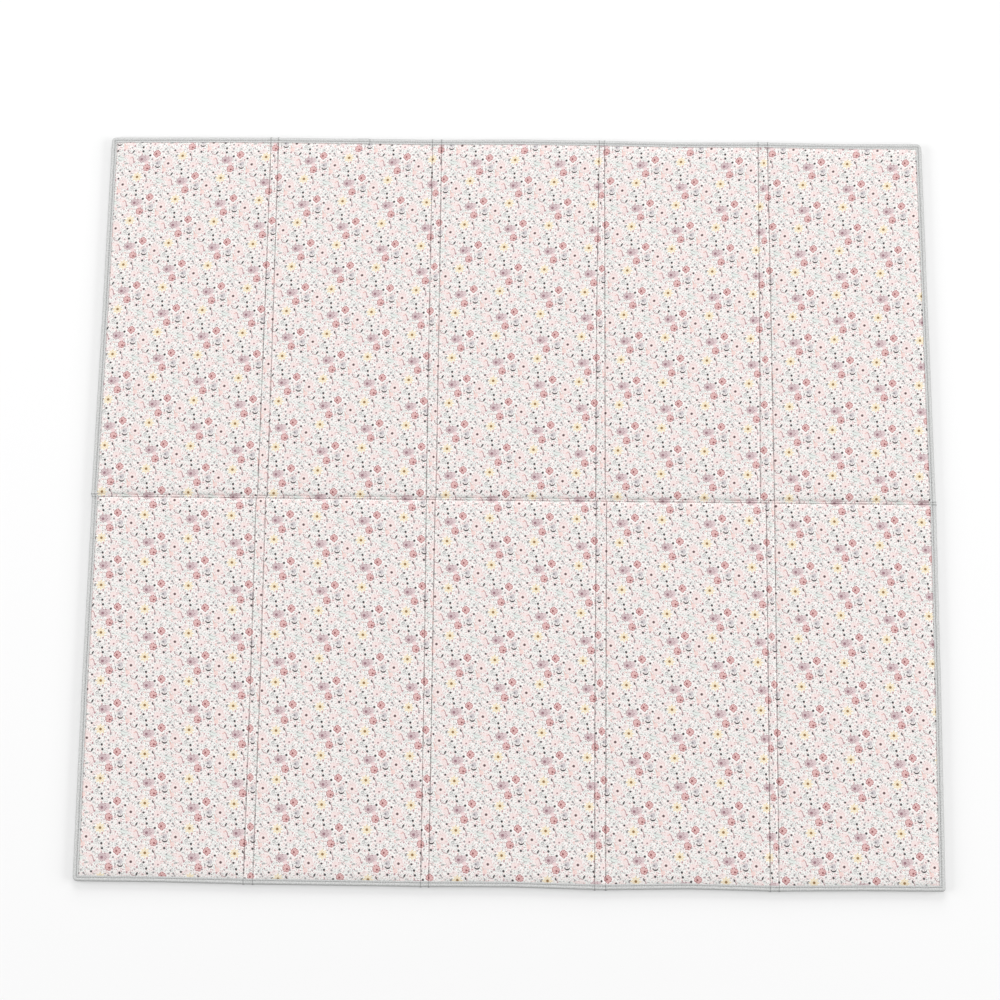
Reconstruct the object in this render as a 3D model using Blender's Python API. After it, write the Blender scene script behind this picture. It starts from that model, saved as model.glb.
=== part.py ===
"""A folding play mat for a baby, opened out flat.

The mat is one padded, quilted cloth of five by two panels. Four pairs of stitched creases run from
the back edge to the front, one narrow pair runs from left to right, and a grey cloth tape wraps
the whole edge. Lengths are in metres, X runs along the long side, Y to the back edge, Z up.
"""

import bmesh
import bpy
import numpy as np

# Driving sizes
MM = 0.001
LENGTH = 2000 * MM
WIDTH = 1800 * MM
PAD_HEIGHT = 11.6 * MM
PANEL_CROWN = 0.7 * MM
TAPE_THICK = 0.9 * MM
TAPE_WIDTH = 13.5 * MM
CLOTH_GAP = 0.3 * MM

# The stitched grooves
FOLD_DEPTH = 4.0 * MM
CROSS_DEPTH = 3.2 * MM
FOLD_RISE = 1.2 * MM
CROSS_HALF = 3 * MM
GROOVE_SIDE = 8 * MM
GROOVE_FOOT = 20 * MM
DIP_AT_SIDE = 0.28
DIP_AT_FOOT = 0.04
CROSSING_SHARE = 0.3

# The thin edge that the tape holds
EDGE_INSET = TAPE_THICK + CLOTH_GAP
EDGE_BOTTOM = TAPE_THICK + CLOTH_GAP
EDGE_TOP = 8.0 * MM
EDGE_INNER_TOP = 8.6 * MM
NOSE_END = 4.5 * MM
BORDER_END = 14 * MM
SHOULDER_END = 22.5 * MM
SHOULDER_TOP = 10.6 * MM
CLIMB_END = 80 * MM
BORDER_STEPS = (EDGE_INSET, 1.8 * MM, 3.1 * MM, NOSE_END, 7.5 * MM, BORDER_END, SHOULDER_END)

# The tape's small lumps at the ends of the creases, and the lapped join of its two ends
KNOB = 1.2 * MM
KNOB_MIDDLE = 0.4 * MM
KNOB_FOOT = 8 * MM
JOIN_START = -391 * MM
JOIN_END = -361 * MM
JOIN_SLOPE = 3 * MM
JOIN_CUT = 0.6 * MM

# The four sides in turn: the corner each starts from, its way along, and its way inward
SIDES = (
    ((-1, -1), (1, 0), (0, 1)),
    ((1, -1), (0, 1), (-1, 0)),
    ((1, 1), (-1, 0), (0, -1)),
    ((-1, 1), (0, -1), (1, 0)),
)
CORNER_RADIUS = {
    "back_left": 10 * MM,
    "back_right": BORDER_END,
    "front_left": BORDER_END,
    "front_right": 7 * MM,
}

# How the mat lies: where each line from the back to the front crosses six places, in millimetres
LINE_AT = (WIDTH / 2, WIDTH / 4, CROSS_HALF, -CROSS_HALF, -WIDTH / 4, -WIDTH / 2)
# line, at the back, half way to it, above the cross crease, below it, half way to the front, front
LINES = (
    ("left_edge", -1000, -1001, -1004, -1002, -1002.5, -1000),
    ("fold_1_left", -605, -605.5, -607, -610, -607.5, -607),
    ("fold_1_right", -587, -585, -583.5, -587, -584.5, -585.5),
    ("fold_2_left", -205.5, -205.5, -204.5, -204, -201, -200),
    ("fold_2_right", -183, -181.5, -181, -183, -182.5, -182),
    ("fold_3_left", 207, 200.5, 199, 200.5, 198, 198),
    ("fold_3_right", 219, 220.5, 222, 225, 224, 223.5),
    ("fold_4_left", 598, 595, 590.5, 604.5, 602.5, 600),
    ("fold_4_right", 621, 623, 624.5, 624, 622, 620),
    ("right_edge", 1000, 1003.5, 1007, 1007.5, 1005, 1000),
)

# How far the two long edges stand out from the straight line between their corners, in millimetres
# place along the edge, back, front
BOWS = (
    ("left_corner", 0, 0),
    ("panel_1", 2, 0),
    ("fold_1", 3, 2.5),
    ("panel_2", 2, 3),
    ("fold_2", 1, 3.5),
    ("panel_3", 3.5, 2),
    ("fold_3", 2, 6),
    ("panel_4", -0.5, 1.5),
    ("fold_4", 1, 4.5),
    ("panel_5", -1.5, 1),
    ("right_corner", 0, 0),
)
BOW_RAMP_END = WIDTH / 2 - SHOULDER_END

# Where a panel gets grid lines: steps beside its middle, and shares of the width from the middle
PANEL_STEP = 100 * MM
PANEL_SHARES = (0.1, 0.25, 0.4)


def clear_scene():
    """Takes every object out of the scene."""
    for item in list(bpy.data.objects):
        bpy.data.objects.remove(item, do_unlink=True)


def cloth(name, color, roughness):
    """A plain cloth material."""
    material = bpy.data.materials.new(name)
    material.use_nodes = True
    shader = material.node_tree.nodes["Principled BSDF"]
    shader.inputs["Base Color"].default_value = (*color, 1)
    shader.inputs["Roughness"].default_value = roughness
    shader.inputs["Metallic"].default_value = 0
    return material


def line_places():
    """Each line's places along Y, and its even place: the mean of them, or the straight edge."""
    rows = np.array([row[1:] for row in LINES]) * MM
    even = rows.mean(axis=1)
    even[[0, -1]] = (-LENGTH / 2, LENGTH / 2)
    return rows, even


def bow_places(even):
    """The corners, the middles of the panels and the middles of the fold strips along X."""
    return np.concatenate([[even[0]], (even[:-1] + even[1:]) / 2, [even[-1]]])


def settle(x, y):
    """Moves points of the even mat to where they lie: lines shift along X, and edges bow along Y."""
    rows, even = line_places()
    shifts = rows - even[:, None]
    turned = [np.interp(y, LINE_AT[::-1], shift[::-1]) for shift in shifts]
    shift_at_y = np.stack(turned)
    right = np.clip(np.searchsorted(even, x), 1, len(even) - 1)
    share = (x - even[right - 1]) / (even[right] - even[right - 1])
    point = np.arange(len(x))
    move_x = shift_at_y[right - 1, point] * (1 - share) + shift_at_y[right, point] * share
    bows = np.array([row[1:] for row in BOWS]) * MM
    places = bow_places(even)
    ramp = np.clip(np.abs(y) / BOW_RAMP_END, 0, 1)
    back = np.interp(x, places, bows[:, 0])
    front = np.interp(x, places, bows[:, 1])
    return x + move_x, y + ramp * np.where(y > 0, back, -front)


def corner_name(right, back):
    """The corner that a point is nearest to."""
    return ("back_" if back else "front_") + ("right" if right else "left")


def round_corners(x, y):
    """Rounds the square grid's corners: rings about each corner's centre keep their distance."""
    x, y = x.copy(), y.copy()
    for right in (False, True):
        for back in (False, True):
            radius = CORNER_RADIUS[corner_name(right, back)]
            side_x = 1 if right else -1
            side_y = 1 if back else -1
            out_x = x * side_x - (LENGTH / 2 - radius)
            out_y = y * side_y - (WIDTH / 2 - radius)
            near = (out_x > 0) & (out_y > 0)
            ring = np.maximum(out_x, out_y)[near]
            reach = np.hypot(out_x, out_y)[near]
            x[near] = side_x * (LENGTH / 2 - radius + out_x[near] * ring / reach)
            y[near] = side_y * (WIDTH / 2 - radius + out_y[near] * ring / reach)
    return x, y


def side_lines(half, creases, middles):
    """Grid lines across the mat: the borders, a few on each side of a crease, and the panels'."""
    lines = [sign * (half - step) for step in BORDER_STEPS for sign in (-1, 1)]
    for left, right in creases:
        lines += [left - GROOVE_FOOT, left - GROOVE_SIDE, left, (left + right) / 2]
        lines += [right, right + GROOVE_SIDE, right + GROOVE_FOOT]
    return np.array(sorted(lines + list(middles)))


def grid_lines():
    """The even mat's grid lines along X and along Y."""
    even = line_places()[1]
    places = bow_places(even)
    folds = list(zip(even[1:-1:2], even[2:-1:2]))
    panels = places[1:-1:2]
    across = [panel + step for panel in panels for step in (-PANEL_STEP, 0, PANEL_STEP)]
    along = [sign * WIDTH * share for sign in (-1, 1) for share in PANEL_SHARES]
    x_lines = side_lines(LENGTH / 2, folds, across)
    y_lines = side_lines(WIDTH / 2, [(-CROSS_HALF, CROSS_HALF)], along)
    return x_lines, y_lines


def groove(value, creases, depth):
    """The depth of the stitched grooves: deepest on a crease, with a soft foot on either side."""
    near = np.min([np.abs(value - crease) for crease in creases], axis=0)
    return depth * np.interp(near, (0, GROOVE_SIDE, GROOVE_FOOT), (1, DIP_AT_SIDE, DIP_AT_FOOT))


def heights(x, y):
    """The top and the underside of the padding over the even mat."""
    inward = np.minimum(LENGTH / 2 - np.abs(x), WIDTH / 2 - np.abs(y))
    middle = (EDGE_TOP + EDGE_BOTTOM) / 2
    turn = np.clip((NOSE_END - inward) / (NOSE_END - EDGE_INSET), 0, 1)
    nose = np.sqrt(np.clip(1 - turn**2, 0, 1))
    steps = (NOSE_END, BORDER_END, SHOULDER_END, CLIMB_END)
    top = np.interp(inward, steps, (EDGE_TOP, EDGE_INNER_TOP, SHOULDER_TOP, PAD_HEIGHT))
    bottom = np.interp(inward, steps, (EDGE_BOTTOM, EDGE_BOTTOM, 0, 0))
    even = line_places()[1]
    held = np.interp(inward, (BORDER_END, SHOULDER_END), (0, 1))
    folds = groove(x, even[1:-1], FOLD_DEPTH)
    crosses = groove(y, (-CROSS_HALF, CROSS_HALF), CROSS_DEPTH)
    dip = held * (np.maximum(folds, crosses) + CROSSING_SHARE * np.minimum(folds, crosses))
    places = bow_places(even)
    panel_x = np.abs(np.interp(x, places, np.arange(len(places)) % 2))
    panel_y = np.interp(np.abs(y), (0, WIDTH / 4, WIDTH / 2), (0, 1, 0))
    top = top - dip + PANEL_CROWN * np.minimum(panel_x, panel_y)
    rise = FOLD_RISE * np.clip(1 - np.abs(x[:, None] - even[1:-1]) / GROOVE_SIDE, 0, 1).max(axis=1)
    rise_cross = FOLD_RISE * np.clip(1 - np.abs(y) / GROOVE_SIDE, 0, 1)
    bottom = np.maximum(bottom, held * np.maximum(rise, rise_cross))
    top = middle + (top - middle) * nose
    bottom = middle + (bottom - middle) * nose
    return top, bottom


def add_object(name, points, faces, material):
    """Makes one closed mesh object with its faces pointing out."""
    mesh = bpy.data.meshes.new(name)
    mesh.from_pydata(points.tolist(), [], faces)
    shape = bmesh.new()
    shape.from_mesh(mesh)
    bmesh.ops.recalc_face_normals(shape, faces=shape.faces)
    shape.to_mesh(mesh)
    shape.free()
    mesh.materials.append(material)
    mesh.shade_smooth()
    item = bpy.data.objects.new(name, mesh)
    bpy.context.collection.objects.link(item)
    return item


def padded_mat(material):
    """The quilted mat: a grid for its top and one for its underside, which share the rim."""
    x_lines, y_lines = grid_lines()
    columns, rows = len(x_lines), len(y_lines)
    x, y = [part.ravel() for part in np.meshgrid(x_lines, y_lines)]
    top, bottom = heights(x, y)
    laid = np.stack(settle(*round_corners(x, y)), axis=1)
    index = np.arange(rows * columns).reshape(rows, columns)
    rim = np.ones((rows, columns), bool)
    rim[1:-1, 1:-1] = False
    under = index.copy()
    under[~rim] = rows * columns + np.arange((~rim).sum())
    inside = ~rim.ravel()
    upper_points = np.column_stack([laid, top])
    lower_points = np.column_stack([laid, bottom])[inside]
    faces = []
    for layer, turn in ((index, 1), (under, -1)):
        quads = np.stack([layer[:-1, :-1], layer[:-1, 1:], layer[1:, 1:], layer[1:, :-1]], axis=-1)
        faces += quads.reshape(-1, 4)[:, ::turn].tolist()
    return add_object("padded_mat", np.concatenate([upper_points, lower_points]), faces, material)


def offset_line(points, distance):
    """A line beside the given one, its runs parallel to it, on the right of its direction."""
    steps = np.diff(points, axis=0)
    steps /= np.linalg.norm(steps, axis=1)[:, None]
    sides = np.column_stack([steps[:, 1], -steps[:, 0]])
    before = np.concatenate([sides[:1], sides])
    after = np.concatenate([sides, sides[-1:]])
    bisector = before + after
    bisector /= (bisector * after).sum(axis=1)[:, None]
    return points + distance * bisector


def rim_section():
    """The mat's rim in section, from over the tape's inner edge round the nose to under it."""
    nose = [step for step in BORDER_STEPS if step <= NOSE_END]
    inward = np.array([TAPE_WIDTH] + nose[::-1] + nose[1:] + [TAPE_WIDTH])
    count = len(inward)
    side = np.full(count, -WIDTH / 4)
    top, bottom = heights(inward - LENGTH / 2, side)
    over = np.arange(count) <= count // 2
    return np.column_stack([inward, np.where(over, top, bottom)])


def long_side_places(back):
    """Places along the back or front side: panel middles, crease ends, and the tape's join."""
    even = line_places()[1]
    knots = {place: 0.0 for place in bow_places(even)[1:-1]}
    for left, right in zip(even[1:-1:2], even[2:-1:2]):
        knots.update({left - KNOB_FOOT: 0.0, left: KNOB, (left + right) / 2: KNOB_MIDDLE})
        knots.update({right: KNOB, right + KNOB_FOOT: 0.0})
    if back:
        knots = {place: lump for place, lump in knots.items() if not JOIN_START < place < JOIN_END}
        knots.update({JOIN_START: 0.0, JOIN_START + JOIN_SLOPE: TAPE_THICK})
        knots.update({JOIN_END - JOIN_CUT: TAPE_THICK, JOIN_END: 0.0})
    return knots


def short_side_places():
    """Places along the left or right side: its quarters, and the ends of the cross creases."""
    knots = {place: 0.0 for place in (LINE_AT[1], LINE_AT[4], -KNOB_FOOT, KNOB_FOOT)}
    knots.update({-CROSS_HALF: KNOB, 0.0: KNOB, CROSS_HALF: KNOB})
    return knots


def edge_stations():
    """All places round the edge, each with its side, its way along it, its spread and its lump.

    A point of the tape that is some way inward lies at along + spread * inward on its side. The
    spread fans the places round a corner, where it is 1, so both sides meet on the mitre.
    """
    stations = []
    for side, (corner, way, inward) in enumerate(SIDES):
        axis = 0 if way[0] else 1
        length = (LENGTH, WIDTH)[axis]
        fan = [(SHOULDER_END - step) / (SHOULDER_END - EDGE_INSET) for step in BORDER_STEPS]
        start = [(side, SHOULDER_END * (1 - spread), spread, 0.0) for spread in fan]
        end = [(side, length - SHOULDER_END * (1 - spread), -spread, 0.0) for spread in fan[:0:-1]]
        knots = long_side_places(back=inward[1] < 0) if axis == 0 else short_side_places()
        middle = [(side, way[axis] * place + length / 2, 0.0, knots[place]) for place in knots]
        stations += start + sorted(middle) + end
    return stations


def edge_binding(material):
    """The tape: its section, an inner and an outer line, is carried round the whole edge."""
    section = rim_section()
    inner = offset_line(section, CLOTH_GAP)
    inner[[0, -1], 0] = TAPE_WIDTH
    rings = []
    for side, along, spread, lump in edge_stations():
        outer = offset_line(section, CLOTH_GAP + TAPE_THICK + lump)
        outer[[0, -1], 0] = TAPE_WIDTH
        outer[:, 1] = np.maximum(outer[:, 1], 0)
        ring = np.concatenate([inner, outer[::-1]])
        corner, way, inward = [np.array(part) for part in SIDES[side]]
        place = corner * (LENGTH / 2, WIDTH / 2) + np.outer(along + spread * ring[:, 0], way)
        rings.append(np.column_stack([place + np.outer(ring[:, 0], inward), ring[:, 1]]))
    rings = np.array(rings)
    count, size = rings.shape[:2]
    flat = rings.reshape(-1, 3)
    laid = np.column_stack([*settle(*round_corners(flat[:, 0], flat[:, 1])), flat[:, 2]])
    index = np.arange(count * size).reshape(count, size)
    ahead = np.roll(index, -1, axis=0)
    quads = np.stack([index, ahead, np.roll(ahead, -1, axis=1), np.roll(index, -1, axis=1)], axis=-1)
    return add_object("edge_binding", laid, quads.reshape(-1, 4).tolist(), material)


def centre_on_box(items):
    """Moves the objects' points so that the middle of their box is over the origin."""
    points = np.array([vertex.co for item in items for vertex in item.data.vertices])
    middle = (points.min(axis=0) + points.max(axis=0)) / 2
    for item in items:
        for vertex in item.data.vertices:
            vertex.co.x -= middle[0]
            vertex.co.y -= middle[1]


clear_scene()
printed_cotton = cloth("printed_cotton", (0.90, 0.87, 0.86), 0.9)
grey_tape = cloth("grey_tape", (0.56, 0.57, 0.56), 0.85)
mat = padded_mat(printed_cotton)
tape = edge_binding(grey_tape)
centre_on_box([mat, tape])
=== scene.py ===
# %% [markdown]
# # A folding play mat, opened out on the floor
# The real thing is a quilted cloth pad of two metres by 1.8. Ten panels lie between stitched
# creases, a small flower print covers the top, and a grey tape wraps the raw edge. This notebook
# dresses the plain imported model: first the shapes, then the print and the cloths, then the light.

import bpy
import numpy as np
from mathutils import Matrix, Vector


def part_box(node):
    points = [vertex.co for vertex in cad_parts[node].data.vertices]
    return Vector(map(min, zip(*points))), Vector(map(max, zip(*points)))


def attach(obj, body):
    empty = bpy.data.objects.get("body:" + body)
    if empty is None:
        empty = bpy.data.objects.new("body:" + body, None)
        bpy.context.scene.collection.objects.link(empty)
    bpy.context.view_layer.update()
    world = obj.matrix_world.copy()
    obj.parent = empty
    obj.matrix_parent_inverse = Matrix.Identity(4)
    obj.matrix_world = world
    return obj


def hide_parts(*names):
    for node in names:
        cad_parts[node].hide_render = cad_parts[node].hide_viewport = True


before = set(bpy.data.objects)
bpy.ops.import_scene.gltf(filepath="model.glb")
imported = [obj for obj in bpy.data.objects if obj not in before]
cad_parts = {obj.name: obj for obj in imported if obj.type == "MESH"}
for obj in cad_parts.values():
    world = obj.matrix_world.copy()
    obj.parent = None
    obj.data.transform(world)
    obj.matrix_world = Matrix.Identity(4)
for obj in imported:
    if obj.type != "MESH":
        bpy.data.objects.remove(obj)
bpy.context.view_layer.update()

# %% [markdown]
# ## Sizes
# A sewing pattern starts with a few sizes, and everything else is worked out from them. These are
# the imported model's own sizes, in metres. Naming them here keeps bare numbers out of the formulas,
# and a change in one place moves every piece that depends on it.

# %% The mat's sizes
MM = 0.001
LENGTH = 2000 * MM
WIDTH = 1800 * MM
PAD_HEIGHT = 11.6 * MM
PANEL_CROWN = 0.7 * MM
TAPE_THICK = 0.9 * MM
TAPE_WIDTH = 13.5 * MM
CLOTH_GAP = 0.3 * MM
FOLD_DEPTH = 4.0 * MM
CROSS_DEPTH = 3.2 * MM
FOLD_RISE = 1.2 * MM
CROSS_HALF = 3 * MM
GROOVE_SIDE = 8 * MM
EDGE_INSET = TAPE_THICK + CLOTH_GAP
EDGE_BOTTOM = TAPE_THICK + CLOTH_GAP
EDGE_TOP = 8.0 * MM
EDGE_INNER_TOP = 8.6 * MM
NOSE_END = 4.5 * MM
BORDER_END = 14 * MM
SHOULDER_END = 22.5 * MM
CORNER_RADIUS = {
    (False, True): 10 * MM,
    (True, True): 11.5 * MM,
    (False, False): 11.5 * MM,
    (True, False): 7 * MM,
}

# %% [markdown]
# ## How the mat lies
# Cloth that is unrolled never lies dead straight. Each crease drifts a few millimetres on its way
# from the back edge to the front, and the long edges bow between the folds. The table has, for
# each line, where it crosses six places from the back to the front. A straight mat could be
# bent with a lattice modifier, but a table and a formula say exactly what moves and by how much.

# %% The lines' places and the edges' bows, in millimetres
LINE_AT = (WIDTH / 2, WIDTH / 4, CROSS_HALF, -CROSS_HALF, -WIDTH / 4, -WIDTH / 2)
# line, back, back_half, above_cross, below_cross, front_half, front
LINES = (
    ("left_edge", -1000, -1001, -1004, -1002, -1002.5, -1000),
    ("fold_1_left", -605, -605.5, -607, -610, -607.5, -607),
    ("fold_1_right", -587, -585, -583.5, -587, -584.5, -585.5),
    ("fold_2_left", -205.5, -205.5, -204.5, -204, -201, -200),
    ("fold_2_right", -183, -181.5, -181, -183, -182.5, -182),
    ("fold_3_left", 207, 200.5, 199, 200.5, 198, 198),
    ("fold_3_right", 219, 220.5, 222, 225, 224, 223.5),
    ("fold_4_left", 598, 595, 590.5, 604.5, 602.5, 600),
    ("fold_4_right", 621, 623, 624.5, 624, 622, 620),
    ("right_edge", 1000, 1003.5, 1007, 1007.5, 1005, 1000),
)
# place, back, front
BOWS = (
    ("left_corner", 0, 0),
    ("panel_1", 2, 0),
    ("fold_1", 3, 2.5),
    ("panel_2", 2, 3),
    ("fold_2", 1, 3.5),
    ("panel_3", 3.5, 2),
    ("fold_3", 2, 6),
    ("panel_4", -0.5, 1.5),
    ("fold_4", 1, 4.5),
    ("panel_5", -1.5, 1),
    ("right_corner", 0, 0),
)
line_rows = np.array([row[1:] for row in LINES]) * MM
bow_rows = np.array([row[1:] for row in BOWS]) * MM
EVEN = line_rows.mean(axis=1)
EVEN[[0, -1]] = (-LENGTH / 2, LENGTH / 2)
PLACES = np.concatenate([[EVEN[0]], (EVEN[:-1] + EVEN[1:]) / 2, [EVEN[-1]]])
FOLDS = list(zip(EVEN[1:-1:2], EVEN[2:-1:2]))
CROSS = [(-CROSS_HALF, CROSS_HALF)]
print("folds at", np.round(np.array(FOLDS) / MM, 1).tolist(), "mm")

# %% Move points of the even mat to where they lie
def settle(x, y):
    """The even mat's points, laid: place + shift.

    The shift along X is read between the two nearest lines, each line's own shift between its six
    places. The shift along Y is the edge's bow times the share of the way to that edge.
    """
    shifts = line_rows - EVEN[:, None]
    shift_at_y = np.stack([np.interp(y, LINE_AT[::-1], shift[::-1]) for shift in shifts])
    right = np.clip(np.searchsorted(EVEN, x), 1, len(EVEN) - 1)
    share = (x - EVEN[right - 1]) / (EVEN[right] - EVEN[right - 1])
    point = np.arange(len(x))
    move_x = shift_at_y[right - 1, point] * (1 - share) + shift_at_y[right, point] * share
    ramp = np.clip(np.abs(y) / (WIDTH / 2 - SHOULDER_END), 0, 1)
    back = np.interp(x, PLACES, bow_rows[:, 0])
    front = np.interp(x, PLACES, bow_rows[:, 1])
    return x + move_x, y + ramp * np.where(y > 0, back, -front)


def round_corners(x, y):
    """Turns squares about each corner's centre into circles: place * (ring / distance)."""
    x, y = x.copy(), y.copy()
    for (right, back), radius in CORNER_RADIUS.items():
        side_x = 1 if right else -1
        side_y = 1 if back else -1
        out_x = x * side_x - (LENGTH / 2 - radius)
        out_y = y * side_y - (WIDTH / 2 - radius)
        near = (out_x > 0) & (out_y > 0)
        ring = np.maximum(out_x, out_y)[near]
        reach = np.hypot(out_x, out_y)[near]
        x[near] = side_x * (LENGTH / 2 - radius + out_x[near] * ring / reach)
        y[near] = side_y * (WIDTH / 2 - radius + out_y[near] * ring / reach)
    return x, y


rim_x = np.repeat([EVEN[0] + EDGE_INSET, EVEN[-1] - EDGE_INSET], len(LINE_AT))
laid_rim_x = settle(rim_x, np.tile(LINE_AT, 2))[0]
rim_y = np.repeat([WIDTH / 2 - EDGE_INSET, EDGE_INSET - WIDTH / 2], len(PLACES))
laid_rim_y = settle(np.tile(PLACES, 2), rim_y)[1]
node_low, node_high = [np.array(corner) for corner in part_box("padded_mat")]
own_middle = np.array([laid_rim_x.min() + laid_rim_x.max(), laid_rim_y.min() + laid_rim_y.max()]) / 2
SHIFT = (node_low + node_high)[:2] / 2 - own_middle
print("from the mat's own places to the packed frame, in mm:", np.round(SHIFT / MM, 2))

# %% [markdown]
# ## The padding's top
# Padding that is stitched down swells between its seams. Beside a seam the cloth rises steeply
# and then flattens, like an exponential curve, so that curve is the groove's formula. Small waves
# run along each seam, because the thread draws the cloth together. A cloth simulation would make
# such swelling too, but here a formula keeps the print, the creases and the edge exactly in place.

# %% Soft waves from a few sines
def waves(x, y, longest, count, seed):
    """Low, uneven waves between -1 and 1: the mean of a few sine waves of random way and phase."""
    draw = np.random.default_rng(seed)
    turn = draw.uniform(0, 2 * np.pi, count)
    phase = draw.uniform(0, 2 * np.pi, count)
    length = longest * draw.uniform(0.45, 1.0, count)
    total = np.zeros_like(x)
    for one_turn, one_phase, one_length in zip(turn, phase, length):
        along = x * np.cos(one_turn) + y * np.sin(one_turn)
        total += np.sin(2 * np.pi * along / one_length + one_phase)
    return total / count


# %% The heights of the padding
FALL_OFF = 6.3 * MM
THREAD_DIP = 1.5 * MM
THREAD_FALL_OFF = 1.1 * MM
SHOULDER_FALL_OFF = 8 * MM
PUCKER = 0.5 * MM
PUCKER_REACH = 16 * MM
PUCKER_LENGTH = 34 * MM
SWELL = 0.55 * MM
SWELL_LENGTH = 330 * MM
FOOT_SHARE = 0.3


def nearest(value, pairs):
    """The distance to the nearest crease of some pairs."""
    creases = np.array(pairs).ravel()
    return np.abs(value[:, None] - creases).min(axis=1)


def groove(distance, depth):
    """The dip by a crease: depth * exp(-distance / fall-off), and a small sharp dip at the thread."""
    return depth * np.exp(-distance / FALL_OFF) + THREAD_DIP * np.exp(-distance / THREAD_FALL_OFF)


def heights(x, y):
    """The padding's top and underside over the even mat, from the edge's section and the grooves.

    Near the rim the section is a nose, half an ellipse. Further in, the top climbs to the panels'
    height by 1 - exp(-distance / fall-off), less the grooves, plus a crown and soft waves.
    """
    inward = np.minimum(LENGTH / 2 - np.abs(x), WIDTH / 2 - np.abs(y))
    middle = (EDGE_TOP + EDGE_BOTTOM) / 2
    turn = np.clip((NOSE_END - inward) / (NOSE_END - EDGE_INSET), 0, 1)
    nose = np.sqrt(np.clip(1 - turn**2, 0, 1))
    rim = np.interp(inward, (NOSE_END, BORDER_END), (EDGE_TOP, EDGE_INNER_TOP))
    climb = 1 - np.exp(-np.maximum(inward - BORDER_END, 0) / SHOULDER_FALL_OFF)
    held = np.interp(inward, (BORDER_END, SHOULDER_END), (0, 1))
    to_fold, to_cross = nearest(x, FOLDS), nearest(y, CROSS)
    folds, crosses = groove(to_fold, FOLD_DEPTH), groove(to_cross, CROSS_DEPTH)
    dip = np.maximum(folds, crosses) + FOOT_SHARE * np.minimum(folds, crosses)
    panel_x = np.interp(x, PLACES, np.arange(len(PLACES)) % 2)
    panel_y = np.interp(np.abs(y), (0, WIDTH / 4, WIDTH / 2), (0, 1, 0))
    crown = PANEL_CROWN * np.sin(np.pi / 2 * np.minimum(panel_x, panel_y))
    drawn = np.exp(-np.minimum(to_fold, to_cross) / PUCKER_REACH)
    soft = PUCKER * drawn * waves(x, y, PUCKER_LENGTH, 7, 3)
    soft += SWELL * (1 - drawn) * waves(x, y, SWELL_LENGTH, 9, 8)
    top = rim + (PAD_HEIGHT - EDGE_INNER_TOP) * climb + held * (crown + soft - dip)
    share = np.clip(1 - np.minimum(to_fold, to_cross) / GROOVE_SIDE, 0, 1)
    bottom = EDGE_BOTTOM * (1 - held) + held * FOLD_RISE * share
    return middle + (top - middle) * nose, middle + (bottom - middle) * nose


sample = heights(np.array([0.0, EVEN[1]]), np.array([0.45, 0.45]))[0]
print("top at a panel's middle and at a crease, in mm:", np.round(sample / MM, 2))

# %% [markdown]
# ## The grid
# The top is a function of two parameters, so it is worked out on a grid. The lines crowd together
# where the shape turns fast, at the rim and beside each crease, and stand 12 mm apart on the
# panels. Subdividing everything evenly would need a hundred times the faces for the same creases.

# %% Grid lines that crowd where the shape turns
PANEL_STEP = 12 * MM
RIM_STEPS = (EDGE_INSET, 1.5 * MM, 2.2 * MM, 3.1 * MM, NOSE_END, 7.5 * MM, BORDER_END, 15 * MM, SHOULDER_END)
BESIDE_CREASE = (0.8 * MM, 2 * MM, 4.5 * MM, 8 * MM, 13 * MM, 20 * MM)
BETWEEN_CREASES = (0, 0.05, 0.15, 0.3, 0.5, 0.7, 0.85, 0.95, 1)


def grid_lines(half, pairs):
    """The rim's lines, each pair's lines, and even steps in the gaps that are left."""
    lines = [side * (half - step) for step in RIM_STEPS for side in (-1, 1)]
    for left, right in pairs:
        lines += [left - step for step in BESIDE_CREASE] + [right + step for step in BESIDE_CREASE]
        lines += [left + (right - left) * share for share in BETWEEN_CREASES]
    lines = np.array(sorted(lines))
    parts = np.ceil(np.diff(lines) / PANEL_STEP).astype(int)
    steps = [np.linspace(start, end, count, endpoint=False)
             for start, end, count in zip(lines[:-1], lines[1:], parts)]
    return np.concatenate(steps + [lines[-1:]])


x_lines = grid_lines(LENGTH / 2, FOLDS)
y_lines = grid_lines(WIDTH / 2, CROSS)
print("grid lines:", len(x_lines), "across,", len(y_lines), "along")

# %% [markdown]
# ## Where the print lies
# A printed cloth carries its pattern with it: where the cloth is drawn into a seam, the print is
# squeezed. So the print gets a UV map of its own, in metres of flat cloth. It leans as the cloth
# was laid, and it gains a little at each fold, where some cloth has gone into the seam.

# %% Flat cloth coordinates from places on the laid mat
LEAN_BACK = 0.074
LEAN_FRONT = 0.047
ROW_TILT = 0.0047
CROSS_TAKE_UP = 1.0 * MM
TAKE_UP_REACH = 7 * MM
# fold, cloth taken up at the back, cloth taken up at the front, in millimetres
TAKE_UPS = (
    ("fold_1", 1, 4.5),
    ("fold_2", 3.5, 1.5),
    ("fold_3", 4.5, 4.5),
    ("fold_4", 4.5, 5.5),
)


def flat_cloth(x, y):
    """Flat cloth under laid places: x - lean + the cloth taken up by the folds that were crossed.

    The lean grows with the square of the way to the back, and evenly to the front. A fold's
    take-up is spread over its crease by half of a tanh step.
    """
    lean = np.where(y > 0, LEAN_BACK * y**2, LEAN_FRONT * np.abs(y))
    flat_x = x - lean
    for (name, back, front), (left, right) in zip(TAKE_UPS, FOLDS):
        amount = np.interp(y, (-WIDTH / 2, WIDTH / 2), (front * MM, back * MM))
        flat_x = flat_x + amount / 2 * np.tanh((x - (left + right) / 2) / TAKE_UP_REACH)
    flat_y = y + ROW_TILT * x * y / (WIDTH / 2) + CROSS_TAKE_UP / 2 * np.tanh(y / CROSS_HALF)
    return flat_x, flat_y


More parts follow.
